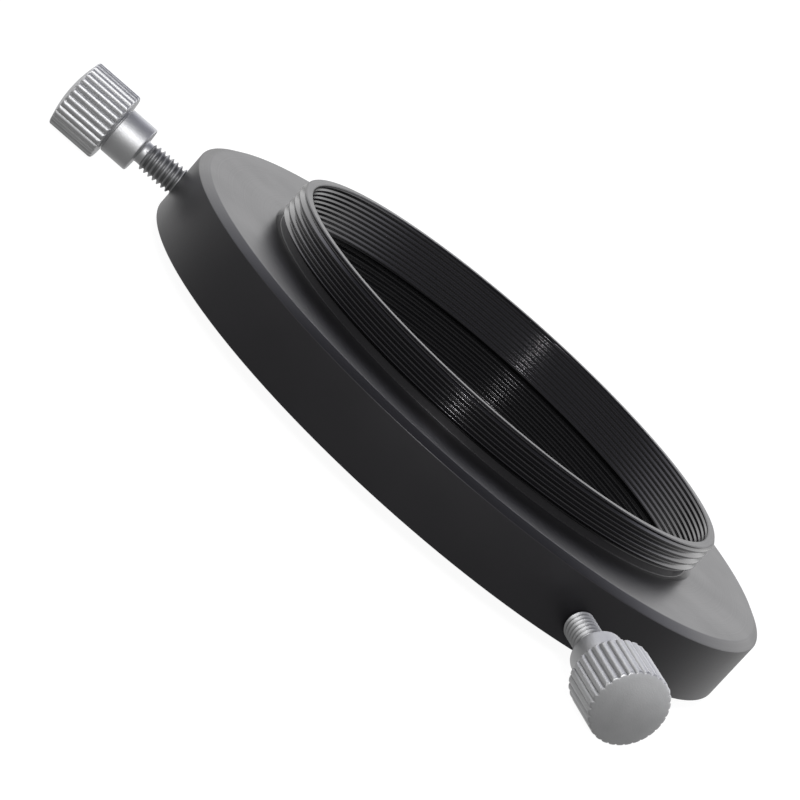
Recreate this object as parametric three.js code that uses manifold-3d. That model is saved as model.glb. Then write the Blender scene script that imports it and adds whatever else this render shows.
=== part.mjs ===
// Threaded rotation adapter for a telescope: an outer ring with a male collar
// thread, a threaded insert that turns inside it, and three knurled
// thumbscrews at 120 degrees whose nylon tips sit in the insert's V-groove.
// Millimetres, +Z up along the optical axis, origin on that axis in the plane
// of the flange face that the collar stands on.
import * as THREE from "three";
import { mergeVertices } from "three/addons/utils/BufferGeometryUtils.js";
import Module from "manifold-3d";

const wasm = await Module();
wasm.setup();

// ---- driving sizes -------------------------------------------------------
const SEGMENTS = 72;             // facets round the ring and the insert
const EDGE = 0.25;               // broken edges

const THREAD_MAJOR_R = 34.0;     // M68 x 1, on the collar and in the insert
const THREAD_PITCH = 1.0;
const THREAD_DEPTH = 0.55;

const COLLAR_H = 5.1;            // collar above the flange face
const COLLAR_WALL = 1.4;         // thread crest to clear bore
const RELIEF_H = 0.7;            // thread relief, cut a little into the flange
const RELIEF_DEPTH = 0.1;        // below the thread root

const FLANGE_H = 8.9;            // flange face down to the base
const WEB = 1.5;                 // flange thickness over the insert's pocket
const RING_WALL = 7.9;           // pocket to the outer wall
const CHAMFER_R = 1.3;           // shallow chamfer round the flange face
const CHAMFER_H = 0.72;

const INSERT_WALL = 3.9;         // thread root to the insert's outside
const POCKET_GAP = 0.2;          // insert to pocket, radially
const SEAT_GAP = 0.15;           // insert to the pocket's ceiling
const LEAD_IN = 0.5;             // plain mouth at each end of the insert's thread
const GROOVE_DEPTH = 1.4;        // V-groove round the insert, 90 degrees
const GROOVE_FLOOR = 0.5;        // half the width of its flat floor

const SCREW_COUNT = 3;
const SCREW_FIRST_DEG = 60;
const SCREW_RISE = 3.0;          // screw axes above the base
const SCREW_R = 1.95;            // M4 x 0.7
const SCREW_PITCH = 0.7;
const SCREW_DEPTH = 0.38;
const SCREW_CLEARANCE = 0.15;
const EXPOSED = 6.1;             // wall to the screw's shoulder
const NECK = 0.7;                // plain neck under the shoulder, at least
const SHOULDER_R = 3.24;
const SHOULDER_L = 4.2;
const HEAD_R = 4.95;
const HEAD_L = 6.7;
const DOME_H = 0.75;
const KNURLS = 30;
const KNURL_DEPTH = 0.28;

const TIP_GAP = 0.3;             // tip to groove
const TIP_SHORT = 0.22;          // tip radius below the screw's thread root
const TIP_STANDOUT = 0.4;        // tip longer than the groove is deep
const STEM_STEP = 0.55;          // tip radius to stem radius
const STEM_L = 1.8;
const STEM_GAP = 0.08;

// ---- derived stations ----------------------------------------------------
const MINOR_R = THREAD_MAJOR_R - THREAD_DEPTH;
const BORE_R = THREAD_MAJOR_R - COLLAR_WALL;
const INSERT_R = THREAD_MAJOR_R + INSERT_WALL;
const POCKET_R = INSERT_R + POCKET_GAP;
const FLANGE_R = POCKET_R + RING_WALL;
const Z_BASE = -FLANGE_H;
const INSERT_TOP = -WEB - SEAT_GAP;
const SCREW_Z = Z_BASE + SCREW_RISE;
const SCREW_ROOT = SCREW_R - SCREW_DEPTH;
const GROOVE_R = INSERT_R - GROOVE_DEPTH;
const TIP_R = SCREW_ROOT - TIP_SHORT;
const TIP_END = GROOVE_R + TIP_GAP;
const TIP_BACK = TIP_END + GROOVE_DEPTH + TIP_STANDOUT;
const STEM_R = TIP_R - STEM_STEP;
const SCREW_END = TIP_BACK + STEM_GAP;
const X_SHOULDER = FLANGE_R + EXPOSED;
const X_HEAD = X_SHOULDER + SHOULDER_L;
const X_END = X_HEAD + HEAD_L;

// ---- helpers -------------------------------------------------------------
// Closed solid from any three.js geometry.
function solidOf(geometry) {
  geometry.deleteAttribute("normal");
  geometry.deleteAttribute("uv");
  const merged = mergeVertices(geometry, 1e-5);
  const triangles = [];
  const index = merged.index.array;
  for (let i = 0; i < index.length; i += 3) {
    const [a, b, c] = [index[i], index[i + 1], index[i + 2]];
    if (a !== b && b !== c && c !== a) triangles.push(a, b, c);
  }
  return new wasm.Manifold(new wasm.Mesh({
    numProp: 3,
    vertProperties: new Float32Array(merged.attributes.position.array),
    triVerts: new Uint32Array(triangles),
  }));
}

// Solid of revolution about Z from [radius, height] pairs listed
// anticlockwise; a ring's profile is closed by repeating its first point.
function revolve(pairs, segments, closed) {
  const points = pairs.map(([r, z]) => new THREE.Vector2(r, z));
  if (closed) points.push(points[0].clone());
  return solidOf(new THREE.LatheGeometry(points, segments).rotateX(Math.PI / 2));
}

// Crests and roots of a thread as plain ridges, from zStart by signed pitch.
function ridges(zStart, pitch, turns, crestR, rootR) {
  const pairs = [];
  for (let i = 0; i < turns; i += 1) {
    const z = zStart + i * pitch;
    pairs.push([rootR, z], [crestR, z + 0.42 * pitch], [crestR, z + 0.58 * pitch]);
  }
  pairs.push([rootR, zStart + turns * pitch]);
  return pairs;
}

function meshOf(name, solid, material) {
  const { vertProperties, triVerts } = solid.getMesh();
  const geometry = new THREE.BufferGeometry();
  geometry.setAttribute("position", new THREE.BufferAttribute(new Float32Array(vertProperties), 3));
  geometry.setIndex(new THREE.BufferAttribute(new Uint32Array(triVerts), 1));
  geometry.computeVertexNormals();
  const mesh = new THREE.Mesh(geometry, material);
  mesh.name = name;
  return mesh;
}

const material = (color, roughness, metalness) =>
  new THREE.MeshStandardMaterial({ color, roughness, metalness });

// ---- outer ring ----------------------------------------------------------
function outerRing() {
  const turns = Math.floor((COLLAR_H - RELIEF_H - EDGE) / THREAD_PITCH);
  const body = revolve([
    [BORE_R, COLLAR_H - EDGE],
    [BORE_R, -WEB],
    [POCKET_R, -WEB],
    [POCKET_R, Z_BASE + EDGE],
    [POCKET_R + EDGE, Z_BASE],
    [FLANGE_R - EDGE, Z_BASE],
    [FLANGE_R, Z_BASE + EDGE],
    [FLANGE_R, -CHAMFER_H],
    [FLANGE_R - CHAMFER_R, 0],
    [THREAD_MAJOR_R + EDGE, 0],
    [MINOR_R - RELIEF_DEPTH, -EDGE],
    ...ridges(RELIEF_H, THREAD_PITCH, turns, THREAD_MAJOR_R, MINOR_R),
    [MINOR_R, COLLAR_H],
    [BORE_R + EDGE, COLLAR_H],
  ], SEGMENTS, true);
  return eachScrew(tappedHole).reduce((ring, hole) => ring.subtract(hole), body);
}

function tappedHole() {
  const r = SCREW_R + SCREW_CLEARANCE;
  const overrun = POCKET_R - GROOVE_R;
  const length = RING_WALL + 2 * overrun;
  const hole = new THREE.CylinderGeometry(r, r, length, 24).rotateX(Math.PI / 2);
  return radial(solidOf(hole.translate(0, 0, GROOVE_R + length / 2)));
}

// ---- threaded insert -----------------------------------------------------
function threadedInsert() {
  const threadTop = INSERT_TOP - LEAD_IN;
  const turns = Math.floor((threadTop - (Z_BASE + LEAD_IN)) / THREAD_PITCH);
  const mouth = GROOVE_DEPTH + GROOVE_FLOOR;
  return revolve([
    [THREAD_MAJOR_R, INSERT_TOP],
    ...ridges(threadTop, -THREAD_PITCH, turns, MINOR_R, THREAD_MAJOR_R),
    [THREAD_MAJOR_R, Z_BASE],
    [INSERT_R - EDGE, Z_BASE],
    [INSERT_R, Z_BASE + EDGE],
    [INSERT_R, SCREW_Z - mouth],
    [GROOVE_R, SCREW_Z - GROOVE_FLOOR],
    [GROOVE_R, SCREW_Z + GROOVE_FLOOR],
    [INSERT_R, SCREW_Z + mouth],
    [INSERT_R, INSERT_TOP - EDGE],
    [INSERT_R - EDGE, INSERT_TOP],
  ], SEGMENTS, true);
}

// ---- thumbscrews ---------------------------------------------------------
// A screw's parts are drawn along +Z, with height as distance from the
// optical axis, then laid on their radius.
const radial = (solid) => solid.rotate([0, 90, 0]).translate([0, 0, SCREW_Z]);

function eachScrew(build) {
  return Array.from({ length: SCREW_COUNT }, (_, i) =>
    build().rotate([0, 0, SCREW_FIRST_DEG + (i * 360) / SCREW_COUNT]));
}

function thumbscrew() {
  const threadStart = FLANGE_R - SCREW_PITCH;
  const turns = Math.floor((X_SHOULDER - NECK - threadStart) / SCREW_PITCH);
  const socketR = STEM_R + STEM_GAP;
  const socketEnd = TIP_BACK + STEM_L + STEM_GAP;
  const shank = revolve([
    [0, socketEnd],
    [socketR, socketEnd],
    [socketR, SCREW_END],
    [SCREW_ROOT, SCREW_END],
    [SCREW_R, SCREW_END + SCREW_DEPTH],
    [SCREW_R, threadStart - SCREW_PITCH / 2],
    ...ridges(threadStart, SCREW_PITCH, turns, SCREW_R, SCREW_ROOT),
    [SCREW_ROOT, X_SHOULDER],
    [SHOULDER_R - EDGE, X_SHOULDER],
    [SHOULDER_R, X_SHOULDER + EDGE],
    [SHOULDER_R, X_HEAD + EDGE],
    [0, X_HEAD + EDGE],
  ], 24, false);
  return radial(shank.add(knurledBar().intersect(headOutline())));
}

// Straight-knurled bar that the head is turned from.
function knurledBar() {
  const shape = new THREE.Shape();
  for (let i = 0; i < KNURLS * 2; i += 1) {
    const r = i % 2 ? HEAD_R - KNURL_DEPTH : HEAD_R;
    const a = (i * Math.PI) / KNURLS;
    if (i) shape.lineTo(r * Math.cos(a), r * Math.sin(a));
    else shape.moveTo(r, 0);
  }
  shape.closePath();
  const depth = HEAD_L + DOME_H + EDGE;
  const bar = new THREE.ExtrudeGeometry(shape, { depth, bevelEnabled: false });
  return solidOf(bar.translate(0, 0, X_HEAD - EDGE / 2));
}

// What the head is turned to: broken edges and a shallow domed end.
function headOutline() {
  const outside = HEAD_R + EDGE;
  const rim = HEAD_R - EDGE;
  const steps = 4;
  const dome = Array.from({ length: steps }, (_, i) => {
    const t = (i + 1) / steps;
    return [rim * (1 - t), X_END + DOME_H * (1 - (1 - t) ** 2)];
  });
  return revolve([
    [0, X_HEAD],
    [rim, X_HEAD],
    [outside, X_HEAD + 2 * EDGE],
    [outside, X_END - 2 * EDGE],
    [rim, X_END],
    ...dome,
  ], 2 * KNURLS, false);
}

// ---- nylon tips ----------------------------------------------------------
function nylonTip() {
  return radial(revolve([
    [0, TIP_END],
    [GROOVE_FLOOR, TIP_END],
    [TIP_R, TIP_END + TIP_R - GROOVE_FLOOR],
    [TIP_R, TIP_BACK],
    [STEM_R, TIP_BACK],
    [STEM_R, TIP_BACK + STEM_L],
    [0, TIP_BACK + STEM_L],
  ], 16, false));
}

// ---- assembly ------------------------------------------------------------
const group = new THREE.Group();
group.name = "rotation_adapter";
group.add(meshOf("outer_ring", outerRing(), material(0x1b1b1d, 0.35, 0.2)));
group.add(meshOf("threaded_insert", threadedInsert(), material(0x18181a, 0.4, 0.2)));
eachScrew(thumbscrew).forEach((solid, i) =>
  group.add(meshOf(`thumbscrew_${i + 1}`, solid, material(0xb9b9bb, 0.35, 1.0))));
eachScrew(nylonTip).forEach((solid, i) =>
  group.add(meshOf(`nylon_tip_${i + 1}`, solid, material(0xe6e4dc, 0.55, 0.0))));

export default group;
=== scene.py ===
"""Telescope rotation adapter: the turned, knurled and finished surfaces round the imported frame."""
import math

import bmesh
import bpy
from mathutils import Matrix, Vector


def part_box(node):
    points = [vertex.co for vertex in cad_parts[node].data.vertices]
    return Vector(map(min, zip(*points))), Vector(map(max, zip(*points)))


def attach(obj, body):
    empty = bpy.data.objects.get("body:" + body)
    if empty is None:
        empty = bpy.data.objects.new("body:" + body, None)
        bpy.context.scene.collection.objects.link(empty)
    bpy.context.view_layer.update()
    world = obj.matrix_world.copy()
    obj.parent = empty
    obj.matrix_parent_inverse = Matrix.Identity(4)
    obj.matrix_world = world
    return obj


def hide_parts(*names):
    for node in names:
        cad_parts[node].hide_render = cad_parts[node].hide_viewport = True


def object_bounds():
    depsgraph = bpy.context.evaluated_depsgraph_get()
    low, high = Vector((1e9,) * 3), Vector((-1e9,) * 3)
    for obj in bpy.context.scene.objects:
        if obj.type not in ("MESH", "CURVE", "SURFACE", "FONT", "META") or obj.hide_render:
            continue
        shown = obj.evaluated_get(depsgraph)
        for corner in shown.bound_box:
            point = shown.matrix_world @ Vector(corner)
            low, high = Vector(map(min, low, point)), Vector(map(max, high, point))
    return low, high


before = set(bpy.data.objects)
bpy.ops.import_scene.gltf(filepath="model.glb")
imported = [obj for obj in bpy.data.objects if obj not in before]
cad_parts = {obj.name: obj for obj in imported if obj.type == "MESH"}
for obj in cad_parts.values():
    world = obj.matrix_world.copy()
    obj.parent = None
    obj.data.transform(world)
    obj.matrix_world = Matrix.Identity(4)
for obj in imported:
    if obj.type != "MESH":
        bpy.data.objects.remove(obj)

cad_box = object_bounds()

MM = 0.001
TAU = 2 * math.pi

# ---- sizes read from the frame, in millimetres ----------------------------


def node_box(node):
    low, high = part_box(node)
    return [c / MM for c in low], [c / MM for c in high]


RING_LOW, RING_HIGH = node_box("outer_ring")
INSERT_LOW, INSERT_HIGH = node_box("threaded_insert")
SCREW_LOW, SCREW_HIGH = node_box("thumbscrew_2")       # lies along -X
TIP_LOW, TIP_HIGH = node_box("nylon_tip_2")

FLANGE_R = RING_HIGH[0]
COLLAR_TOP = RING_HIGH[2]
BASE = RING_LOW[2]
INSERT_R = INSERT_HIGH[0]
INSERT_TOP = INSERT_HIGH[2]
HEAD_R = SCREW_HIGH[1]
SCREW_Z = (SCREW_LOW[2] + SCREW_HIGH[2]) / 2
SCREW_END = -SCREW_HIGH[0]
DOME_TOP = -SCREW_LOW[0]
TIP_END = -TIP_HIGH[0]
TIP_STEM_END = -TIP_LOW[0]
TIP_R = TIP_HIGH[1]
SCREW_ANGLES = [60, 180, 300]    # degrees round the optical axis

# ---- sizes of the fine work, in millimetres --------------------------------

RING_COLUMNS = 360
THREAD_R = 34.0            # M68 x 1 crest on the collar, root in the insert
THREAD_PITCH = 1.0
THREAD_DEPTH = 0.56
COLLAR_CHAMFER = 0.5
COLLAR_START = 0.1         # where each thread begins, as a share of its pitch
SOCKET_START = 0.242
BAFFLE_START = 0.35
RELIEF_TOP = 0.75
RELIEF_R = 33.35
RUN_OUT = 1.6              # rise of the radius for each mm as the thread leaves the relief

BORE_R = 32.6
BAFFLE_PITCH = 0.646       # fine anti-reflection thread in the clear bore
BAFFLE_DEPTH = 0.2

WEB = 1.5
POCKET_GAP = 0.2
FACE_CHAMFER_R = 1.3
FACE_CHAMFER_H = 0.72
BREAK = 0.12               # broken edges

GROOVE_DEPTH = 1.4
GROOVE_FLOOR = 0.5
INSERT_LEAD_IN = 0.55

HOLE_R = 2.06
HOLE_MOUTH = 0.3           # countersink at the mouth of each tapped hole
DRILL_COLUMNS = 48

SCREW_R = 1.93             # M4 x 0.7
SCREW_PITCH = 0.7
SCREW_DEPTH = 0.4
NECK = 0.85
NECK_FILLET = 0.35
EXPOSED = 6.1
SHOULDER_R = 3.24
SHOULDER_L = 4.2
HEAD_START = FLANGE_R + EXPOSED + SHOULDER_L
HEAD_EDGE = 0.42           # rounding next to the shoulder
DOME_H = 0.75
DOME_EDGE = 0.3            # rounding at the rim of the dome
DOME_STEPS = 8
COLLAR_GROOVE = 0.3        # small groove between shoulder and head
NECK_START = FLANGE_R + EXPOSED - NECK
KNURLS = 30
KNURL_DEPTH = 0.3
KNURL_COLUMNS = 10         # columns across one knurl
SCREW_COLUMNS = 72

STEM_STEP = 0.55           # the nylon tip's radius is that much more than its stem's
STEM_GAP = 0.06            # stem to its socket in the screw
TIP_SEAT = 0.08            # tip to the end of the screw
TIP_COLUMNS = 48

# ---- turned surfaces --------------------------------------------------------


def rounded(corners, closed=False, steps=4):
    """Profile points for (radius, height, fillet) corners, each fillet an arc."""
    points = []
    last = len(corners) - 1
    for i, (r, z, fillet) in enumerate(corners):
        if not fillet or (not closed and i in (0, last)):
            points.append((r, z))
            continue
        here = Vector((r, z))
        before = Vector(corners[i - 1][:2]) - here
        after = Vector(corners[(i + 1) % len(corners)][:2]) - here
        reach = min(fillet, 0.45 * before.length, 0.45 * after.length)
        start = here + before.normalized() * reach
        end = here + after.normalized() * reach
        for k in range(steps + 1):
            t = k / steps
            points.append(tuple(start * (1 - t) ** 2 + here * 2 * t * (1 - t) + end * t ** 2))
    return points


def plain(points, columns):
    """Rows of a surface of revolution."""
    return [[(r, z)] * (columns + 1) for r, z in points]


# One pitch of a 60 degree thread: share of the pitch, share of the depth.
THREAD_FORM = [(0.0, 0.0), (0.09, 0.0), (0.14, 0.05), (0.41, 0.92), (0.44, 0.975), (0.47, 1.0),
               (0.53, 1.0), (0.56, 0.975), (0.59, 0.92), (0.86, 0.05), (0.91, 0.0)]


def thread_height(share):
    """Height of the thread form, 0 at the root to 1 at the crest."""
    share %= 1.0
    stops = THREAD_FORM + [(1.0, 0.0)]
    for (a, low), (b, high) in zip(stops, stops[1:]):
        if share <= b:
            return low + (high - low) * (share - a) / (b - a)
    return 0.0


def helical(z_low, z_high, pitch, start, radius_at, columns):
    """Rows that climb with a right-hand thread between two flat ends.

    radius_at(height of the thread form, z) gives the radius, and has to be
    the same all round at both ends."""
    rows = []
    first = math.floor(z_low / pitch - start) - 2
    final = math.ceil(z_high / pitch - start) + 1
    for turn in range(first, final):
        for share, _ in THREAD_FORM:
            climb = [pitch * (turn + share + start + c / columns) for c in range(columns + 1)]
            if climb[-1] < z_low or climb[0] > z_high:
                continue
            row = []
            for c, z in enumerate(climb):
                z = min(max(z, z_low), z_high)
                row.append((radius_at(thread_height(z / pitch - start - c / columns), z), z))
            rows.append(row)
    return rows


def skin(mesh, rows, columns):
    """Add a grid of rows to a bmesh, in metres."""
    grid = []
    for row in rows:
        grid.append([mesh.verts.new((r * MM * math.cos(TAU * c / columns),
                                     r * MM * math.sin(TAU * c / columns),
                                     z * MM))
                     for c, (r, z) in enumerate(row)])
    for low, high in zip(grid, grid[1:]):
        for c in range(columns):
            mesh.faces.new((low[c], low[c + 1], high[c + 1], high[c]))


MERGE = 2e-7               # metres
SHARP = math.radians(38)


def finished(name, mesh, finish):
    """Merge a bmesh's doubled points and make it an object."""
    bmesh.ops.remove_doubles(mesh, verts=mesh.verts, dist=MERGE)
    bmesh.ops.dissolve_degenerate(mesh, edges=mesh.edges, dist=MERGE)
    bmesh.ops.recalc_face_normals(mesh, faces=mesh.faces)
    data = bpy.data.meshes.new(name)
    mesh.to_mesh(data)
    mesh.free()
    data.shade_smooth()
    data.set_sharp_from_angle(angle=SHARP)
    data.materials.append(finish)
    piece = bpy.data.objects.new(name, data)
    bpy.context.scene.collection.objects.link(piece)
    return piece


def turned(name, rows, columns, finish):
    mesh = bmesh.new()
    skin(mesh, rows, columns)
    return finished(name, mesh, finish)


def along_screw(angle):
    """Where a screw's own Z axis lies: out along its radius."""
    return (Matrix.Rotation(math.radians(angle), 4, "Z")
            @ Matrix.Translation((0, 0, SCREW_Z * MM))
            @ Matrix.Rotation(math.radians(90), 4, "Y"))


# ---- outer ring --------------------------------------------------------------


def collar_radius(height, z):
    chamfer = THREAD_R + 0.1 - max(0.0, z - (COLLAR_TOP - COLLAR_CHAMFER))
    run_out = RELIEF_R + max(0.0, z - RELIEF_TOP) * RUN_OUT
    return min(THREAD_R - THREAD_DEPTH * (1 - height), chamfer, run_out)


def baffle_radius(height, z):
    ends = min(z + WEB, COLLAR_TOP - BREAK - z)
    fade = min(1.0, max(0.0, ends / 0.15))
    return BORE_R + BAFFLE_DEPTH * (1 - height) * fade


def ring_rows():
    n = RING_COLUMNS
    rim_r = THREAD_R + 0.1 - COLLAR_CHAMFER
    bore = helical(-WEB, COLLAR_TOP - BREAK, BAFFLE_PITCH, BAFFLE_START, baffle_radius, n)
    outside = plain(rounded([
        (BORE_R, -WEB, 0),
        (INSERT_R + POCKET_GAP, -WEB, 0.1),
        (INSERT_R + POCKET_GAP, BASE, BREAK),
        (FLANGE_R, BASE, 1.6 * BREAK),
        (FLANGE_R, -FACE_CHAMFER_H, BREAK),
        (FLANGE_R - FACE_CHAMFER_R, 0, BREAK),
        (THREAD_R + 0.25, 0, BREAK),
        (RELIEF_R, -0.2, 0.1),
        (RELIEF_R, RELIEF_TOP, 0),
    ]), n)
    collar = helical(RELIEF_TOP, COLLAR_TOP - BREAK, THREAD_PITCH, COLLAR_START, collar_radius, n)
    rim = plain(rounded([
        (rim_r + BREAK, COLLAR_TOP - BREAK, 0),
        (rim_r, COLLAR_TOP, BREAK / 2),
        (BORE_R + BREAK, COLLAR_TOP, BREAK / 2),
        (BORE_R, COLLAR_TOP - BREAK, 0),
    ]), n)
    return outside + collar + rim + bore[::-1]


def drill_tapped_holes(ring):
    """Ask for the three screws' holes, with a small countersink at each mouth.

    Known fault: the ring's mesh is open in places at the ends of its threads,
    so Blender refuses the cuts with a warning and the ring has no holes."""
    for angle in SCREW_ANGLES:
        mouth = math.sqrt(FLANGE_R ** 2 - HOLE_R ** 2)
        rows = plain([(0, INSERT_R - 1), (HOLE_R, INSERT_R - 1), (HOLE_R, mouth - HOLE_MOUTH),
                      (HOLE_R + HOLE_MOUTH + 1, mouth + 1), (0, mouth + 1)], DRILL_COLUMNS)
        drill = turned("drill", rows, DRILL_COLUMNS, ring.data.materials[0])
        drill.matrix_world = along_screw(angle)
        cut = ring.modifiers.new("tapped hole", "BOOLEAN")
        cut.operation = "DIFFERENCE"
        cut.solver = "MANIFOLD"
        cut.object = drill
        bpy.context.view_layer.update()
        bpy.context.view_layer.objects.active = ring
        bpy.ops.object.modifier_apply(modifier=cut.name)
        bpy.data.meshes.remove(drill.data)


def outer_ring(finish):
    ring = turned("ring_turned", ring_rows(), RING_COLUMNS, finish)
    drill_tapped_holes(ring)
    ring.data.set_sharp_from_angle(angle=SHARP)
    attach(ring, "outer_ring")
    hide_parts("outer_ring")


# ---- threaded insert -----------------------------------------------------------


def socket_radius(height, z):
    crest = THREAD_R - THREAD_DEPTH * height
    mouth = THREAD_R + 0.15 - min(INSERT_TOP - z, z - BASE)
    return max(crest, mouth)


def insert_rows():
    n = RING_COLUMNS
    mouth = GROOVE_DEPTH + GROOVE_FLOOR
    groove_r = INSERT_R - GROOVE_DEPTH
    edge_r = THREAD_R + 0.15
    socket = helical(BASE, INSERT_TOP, THREAD_PITCH, SOCKET_START, socket_radius, n)
    outside = plain(rounded([
        (edge_r, INSERT_TOP, 0),
        (INSERT_R, INSERT_TOP, BREAK),
        (INSERT_R, SCREW_Z + mouth, BREAK),
        (groove_r, SCREW_Z + GROOVE_FLOOR, 0.1),
        (groove_r, SCREW_Z - GROOVE_FLOOR, 0.1),
        (INSERT_R, SCREW_Z - mouth, BREAK),
        (INSERT_R, BASE, 1.6 * BREAK),
        (edge_r, BASE, 0),
    ]), n)
    return outside + socket


def threaded_insert(finish):
    insert = turned("insert_turned", insert_rows(), RING_COLUMNS, finish)
    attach(insert, "threaded_insert")
    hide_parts("threaded_insert")


# ---- thumbscrews ------------------------------------------------------------------


def screw_radius(height, z):
    root = SCREW_R - SCREW_DEPTH
    point = root + max(0.0, z - SCREW_END)
    run_out = root + max(0.0, NECK_START - z) * 1.4
    return min(SCREW_R - SCREW_DEPTH * (1 - height), point, run_out)


def shank_rows(columns):
    root = SCREW_R - SCREW_DEPTH
    shoulder = FLANGE_R + EXPOSED
    socket_r = TIP_R - STEM_STEP + STEM_GAP
    socket = plain([(0, TIP_STEM_END + STEM_GAP), (socket_r, TIP_STEM_END + STEM_GAP),
                    (socket_r, SCREW_END), (root, SCREW_END)], columns)
    thread = helical(SCREW_END, NECK_START, SCREW_PITCH, 0.0, screw_radius, columns)
    neck = plain(rounded([
        (root, NECK_START, 0),
        (root, shoulder, NECK_FILLET),
        (SHOULDER_R, shoulder, 0.28),
        (SHOULDER_R, HEAD_START - COLLAR_GROOVE, 0.08),
        (SHOULDER_R - COLLAR_GROOVE, HEAD_START - COLLAR_GROOVE + 0.05, 0.05),
        (SHOULDER_R - COLLAR_GROOVE, HEAD_START + 0.2, 0),
        (0, HEAD_START + 0.2, 0),
    ]), columns)
    return socket + thread + neck


def knurl(share):
    """Depth of the straight knurl across one tooth: a round back, a V between."""
    from_valley = abs((share % 1.0) - 0.5) * 2
    return from_valley ** 2.2


def head_rows(columns):
    dome_start = DOME_TOP - DOME_H
    dome = []
    for step in range(1, DOME_STEPS + 1):
        out = 1 - step / DOME_STEPS
        dome.append(((HEAD_R - 0.12) * out, dome_start + DOME_H * (1 - out ** 2), 0))
    outline = rounded([
        (0, HEAD_START, 0),
        (HEAD_R, HEAD_START, HEAD_EDGE),
        (HEAD_R, dome_start, DOME_EDGE),
    ] + dome, steps=5)
    rows = []
    for r, z in outline:
        row = []
        for c in range(columns + 1):
            valley = HEAD_R - KNURL_DEPTH * knurl(c * KNURLS / columns)
            row.append((min(r, valley), z))
        rows.append(row)
    return rows


def thumbscrew(number, angle, finish):
    mesh = bmesh.new()
    skin(mesh, shank_rows(SCREW_COLUMNS), SCREW_COLUMNS)
    head_columns = KNURLS * KNURL_COLUMNS
    skin(mesh, head_rows(head_columns), head_columns)
    screw = finished(f"thumbscrew_{number}_turned", mesh, finish)
    screw.matrix_world = along_screw(angle)
    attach(screw, f"screw_{number}")
    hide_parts(f"thumbscrew_{number}")


def nylon_tip(number, angle, finish):
    stem_r = TIP_R - STEM_STEP
    back = SCREW_END - TIP_SEAT
    rows = plain(rounded([
        (0, TIP_END, 0),
        (GROOVE_FLOOR, TIP_END, 0.15),
        (TIP_R, TIP_END + TIP_R - GROOVE_FLOOR, 0.15),
        (TIP_R, back, 0.1),
        (stem_r, back, 0.05),
        (stem_r, TIP_STEM_END, 0.15),
        (0, TIP_STEM_END, 0),
    ]), TIP_COLUMNS)
    tip = turned(f"nylon_tip_{number}_turned", rows, TIP_COLUMNS, finish)
    tip.matrix_world = along_screw(angle)
    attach(tip, f"tip_{number}")
    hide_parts(f"nylon_tip_{number}")


# ---- finishes ------------------------------------------------------------------------

WHITE = (1.0, 1.0, 1.0, 1.0)
RING_BLACK = (0.007, 0.0068, 0.0075)
INSERT_BLACK = (0.006, 0.006, 0.0065)
SKY_BLUE = (0.84, 0.85, 1.0, 1.0)
# painted shade: dark grey laid into the screws' knurl valleys and thread roots
PAINTED_SHADE_GREY = (0.10, 0.10, 0.10, 1.0)
STEEL_DULL = (0.53, 0.535, 0.54, 1.0)
STEEL_BRIGHT = (0.69, 0.69, 0.695, 1.0)
NYLON_DULL = (0.72, 0.70, 0.62, 1.0)
NYLON_BRIGHT = (0.84, 0.83, 0.77, 1.0)


class Value:
    """A shader value; arithmetic on it adds Math nodes."""

    def __init__(self, shading, socket):
        self.shading = shading
        self.socket = socket

    def math(self, operation, *values):
        return self.shading.node("Math", {"operation": operation}, dict(enumerate(values)))

    def __add__(self, other):
        return self.math("ADD", self, other)

    def __sub__(self, other):
        return self.math("SUBTRACT", self, other)

    def __rsub__(self, other):
        return self.math("SUBTRACT", other, self)

    def __mul__(self, other):
        return self.math("MULTIPLY", self, other)

    def __truediv__(self, other):
        return self.math("DIVIDE", self, other)

    def __pow__(self, other):
        return self.math("POWER", self, other)

    __radd__ = __add__
    __rmul__ = __mul__


class Shading:
    """A node tree, and the values that its nodes work out."""

    def __init__(self, tree):
        self.tree = tree

    def node(self, kind, settings, values, output=0):
        node = self.tree.nodes.new("ShaderNode" + kind)
        for setting, value in settings.items():
            setattr(node, setting, value)
        for socket, value in values.items():
            if isinstance(value, Value):
                self.tree.links.new(value.socket, node.inputs[socket])
            else:
                node.inputs[socket].default_value = value
        return Value(self, node.outputs[output])

    def axes(self, vector):
        return [self.node("SeparateXYZ", {}, {0: vector}, axis) for axis in "XYZ"]

    def noise(self, vector, scale, detail=2.0, roughness=0.5):
        return self.node("TexNoise", {}, {"Vector": vector, "Scale": scale, "Detail": detail,
                                          "Roughness": roughness}, "Fac")

    def mix(self, share, low, high):
        return self.node("Mix", {"data_type": "RGBA"}, {"Factor": share, 6: low, 7: high}, 2)

    def rise(self, value, start, end):
        """0 below start, 1 above end, smooth between."""
        return self.node("MapRange", {"interpolation_type": "SMOOTHSTEP"},
                         {"Value": value, "From Min": start, "From Max": end})


class Finish(Shading):
    """One material: a Principled shader, its constants and what feeds it."""

    def __init__(self, name, constants):
        self.material = bpy.data.materials.new(name)
        self.material.use_nodes = True
        super().__init__(self.material.node_tree)
        self.shader = self.tree.nodes["Principled BSDF"]
        for socket, value in constants.items():
            self.shader.inputs[socket].default_value = value

    def feed(self, socket, value):
        self.tree.links.new(value.socket, self.shader.inputs[socket])

    def place(self):
        """Position on the piece, its radius from the piece's Z axis and its height, in millimetres."""
        position = self.node("TexCoord", {}, {}, "Object")
        x, y, z = self.axes(position)
        return position, (x * x + y * y) ** 0.5 * 1000, z * 1000

    def bump(self, height, strength, distance):
        self.feed("Normal", self.node("Bump", {}, {"Height": height, "Strength": strength,
                                                  "Distance": distance}))


def turning_marks(finish, radius, height, per_mm):
    """Fine tool marks that run round the axis: they change with radius and height only."""
    along = finish.node("CombineXYZ", {}, {"X": radius, "Y": height})
    return finish.noise(along, per_mm, 3.0, 0.6)


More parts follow.
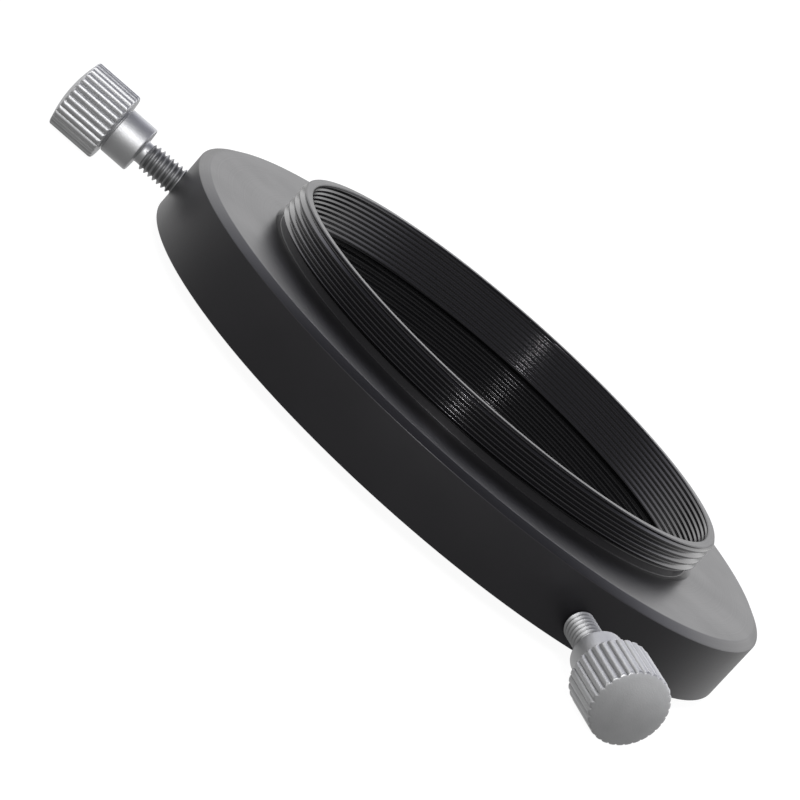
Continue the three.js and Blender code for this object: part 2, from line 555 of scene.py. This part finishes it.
def anodised_black(name, tint, roughness, ior, threads):
    """threads(finish, radius, height) is 1 on a cut thread, which shines more than the rest."""
    finish = Finish(name, {"IOR": ior, "Specular Tint": (0.98, 0.96, 1.0, 1.0)})
    position, radius, height = finish.place()
    marks = turning_marks(finish, radius, height, 5.0)
    cloud = finish.noise(position, 90.0, 3.0)
    grain = finish.noise(position, 2600.0, 2.0)
    dark = [c * 0.75 for c in tint] + [1.0]
    light = [c * 1.3 for c in tint] + [1.0]
    finish.feed("Base Color", finish.mix(cloud * 0.6 + marks * 0.4, dark, light))
    cut = threads(finish, radius, height)
    finish.feed("Roughness", roughness + (marks - 0.5) * 0.08 + (cloud - 0.5) * 0.12 - cut * 0.2)
    finish.bump(marks + grain * (1.2 - cut), 0.16, 0.02 * MM)
    return finish.material


def ring_threads(finish, radius, height):
    """The collar's thread between its relief and its chamfer, and the fine thread in the bore."""
    bore = 1 - finish.rise(radius, BORE_R + 0.4, BORE_R + 0.6)
    collar = 1 - finish.rise(radius, THREAD_R, THREAD_R + 0.2)
    below_rim = 1 - finish.rise(height, COLLAR_TOP - COLLAR_CHAMFER, COLLAR_TOP - 0.2)
    return (bore + (1 - bore) * collar * finish.rise(height, RELIEF_TOP, RELIEF_TOP + 0.1)) * below_rim


def insert_thread(finish, radius, height):
    """The insert's female thread: all that lies within the thread's root."""
    return 1 - finish.rise(radius, THREAD_R, THREAD_R + 0.2)


def satin_steel():
    """Blasted steel, with painted shade down the flutes of the head and in the thread roots, and the
    whole threaded shank a little darker.
    """
    finish = Finish("satin_steel", {"Metallic": 1.0})
    position, radius, height = finish.place()
    marks = turning_marks(finish, radius, height, 7.0)
    blast = finish.noise(position, 5200.0, 2.0, 0.6)
    cloud = finish.noise(position, 420.0, 2.0)
    flute = 1 - finish.rise(radius, HEAD_R - KNURL_DEPTH, HEAD_R - 0.08)
    grip = finish.rise(height, HEAD_START, HEAD_START + 0.3)
    grip = grip * (1 - finish.rise(height, DOME_TOP - DOME_H - 0.3, DOME_TOP - DOME_H))
    root = 1 - finish.rise(radius, SCREW_R - SCREW_DEPTH, SCREW_R - 0.08)
    threaded = 1 - finish.rise(height, NECK_START - 0.2, NECK_START)
    steel = finish.mix(cloud * 0.7 + blast * 0.3, STEEL_DULL, STEEL_BRIGHT)
    # painted shade: darkens the knurl valleys and thread roots, and the whole threaded shank a little
    painted_shade = flute * grip * 0.4 + (root * 0.55 + 0.2) * threaded
    finish.feed("Base Color", finish.mix(painted_shade, steel, PAINTED_SHADE_GREY))
    finish.feed("Roughness", 0.5 + (blast - 0.5) * 0.2 + (marks - 0.5) * 0.06)
    finish.bump(blast + marks * 0.3, 0.45, 0.04 * MM)
    return finish.material


def natural_nylon():
    finish = Finish("natural_nylon", {"Roughness": 0.5, "Subsurface Weight": 0.2,
                                      "Subsurface Radius": (0.0008, 0.0008, 0.0007)})
    position, radius, height = finish.place()
    marks = turning_marks(finish, radius, height, 6.0)
    finish.feed("Base Color", finish.mix(finish.noise(position, 900.0), NYLON_DULL, NYLON_BRIGHT))
    finish.bump(marks, 0.2, 0.03 * MM)
    return finish.material


# ---- studio ---------------------------------------------------------------------------


ROOM_GREY = 0.23
SCREEN_LIGHT = 1.4         # added behind the object, fading out 33 to 53 degrees high
TABLE_LIGHT = 0.5          # added behind the object, from 6 degrees high downward
FRONT_LIGHT = 0.62         # added in front, fading out 30 to 49 degrees high
FLOOR_HALF = 6.0           # metres
STRIP_PLACE = (-0.195, -1.214, 0.86)
STRIP_WIDTH = 0.03
STRIP_LENGTH = 0.6
STRIP_WATTS = 8.0


def floor():
    half = FLOOR_HALF
    z = cad_box[0][2]
    data = bpy.data.meshes.new("studio_floor")
    corners = [(-half, -half, z), (half, -half, z), (half, half, z), (-half, half, z)]
    data.from_pydata(corners, [], [(0, 1, 2, 3)])
    finish = Finish("studio_floor", {"Base Color": (0.18, 0.18, 0.18, 1.0), "Roughness": 0.9,
                                     "Specular IOR Level": 0.0,
                                     "Emission Color": WHITE,
                                     "Emission Strength": 0.94})
    data.materials.append(finish.material)
    sheet = bpy.data.objects.new("studio_floor", data)
    sheet.visible_glossy = False
    bpy.context.scene.collection.objects.link(sheet)


def strip_light():
    """A long narrow lamp in front, which draws a bright streak across the threads."""
    lamp = bpy.data.lights.new("strip", "AREA")
    lamp.shape = "RECTANGLE"
    lamp.size = STRIP_WIDTH
    lamp.size_y = STRIP_LENGTH
    lamp.energy = STRIP_WATTS
    strip = bpy.data.objects.new("strip", lamp)
    strip.location = STRIP_PLACE
    strip.rotation_euler = (-Vector(STRIP_PLACE)).to_track_quat("-Z", "Y").to_euler()
    strip.visible_camera = False
    bpy.context.scene.collection.objects.link(strip)


def studio():
    """A bright screen behind, a dimmer glow in front and a grey room elsewhere."""
    world = bpy.data.worlds.new("studio")
    world.use_nodes = True
    bpy.context.scene.world = world
    bpy.context.scene.view_settings.view_transform = "Standard"
    room = Shading(world.node_tree)
    _, y, z = room.axes(room.node("TexCoord", {}, {}, "Generated"))
    behind = room.rise(y, -0.2, 0.5)
    screen = room.rise(z, 0.05, 0.16) * (1 - room.rise(z, 0.55, 0.8)) * behind
    table_edge = (1 - room.rise(z, 0.0, 0.1)) * room.rise(y, 0.1, 0.9)
    front = room.rise(z, -0.02, 0.14) * (1 - room.rise(z, 0.5, 0.75)) * (1 - behind)
    light = ROOM_GREY + screen * SCREEN_LIGHT + table_edge * TABLE_LIGHT + front * FRONT_LIGHT
    background = world.node_tree.nodes["Background"]
    world.node_tree.links.new(light.socket, background.inputs["Strength"])
    hue = room.mix(room.rise(z, 0.35, 0.8), WHITE, SKY_BLUE)
    world.node_tree.links.new(hue.socket, background.inputs["Color"])
    strip_light()


# The camera, with its distance and aim in flange radii.
VIEW_DISTANCE = 9.057
VIEW_ELEVATION = math.radians(11.89)
VIEW_ROLL = math.radians(41.67)
VIEW_AZIMUTH = math.radians(-2.9)
AIM_X = -0.1574
AIM_Z = -0.1800
LENS = 149.26


def camera():
    unit = FLANGE_R * MM
    lens = bpy.data.cameras.new("camera")
    lens.lens = LENS
    lens.sensor_width = 36.0
    lens.clip_start = 0.01
    eye = bpy.data.objects.new("camera", lens)
    back = Vector((0, -math.cos(VIEW_ELEVATION), math.sin(VIEW_ELEVATION)))
    place = Vector((AIM_X, 0, AIM_Z)) + VIEW_DISTANCE * back
    level = Matrix.Rotation(math.pi / 2 - VIEW_ELEVATION, 4, "X")
    eye.matrix_world = (Matrix.Rotation(VIEW_AZIMUTH, 4, "Z")
                        @ Matrix.Translation(place * unit)
                        @ level
                        @ Matrix.Rotation(VIEW_ROLL, 4, "Z"))
    bpy.context.scene.collection.objects.link(eye)
    bpy.context.scene.camera = eye


# ---- assembly ----------------------------------------------------------------------------

camera()
outer_ring(anodised_black("anodised_ring", RING_BLACK, 0.35, 1.5, ring_threads))
threaded_insert(anodised_black("anodised_insert", INSERT_BLACK, 0.37, 1.42, insert_thread))
steel = satin_steel()
nylon = natural_nylon()
for number, angle in enumerate(SCREW_ANGLES, start=1):
    thumbscrew(number, angle, steel)
    nylon_tip(number, angle, nylon)
floor()
studio()
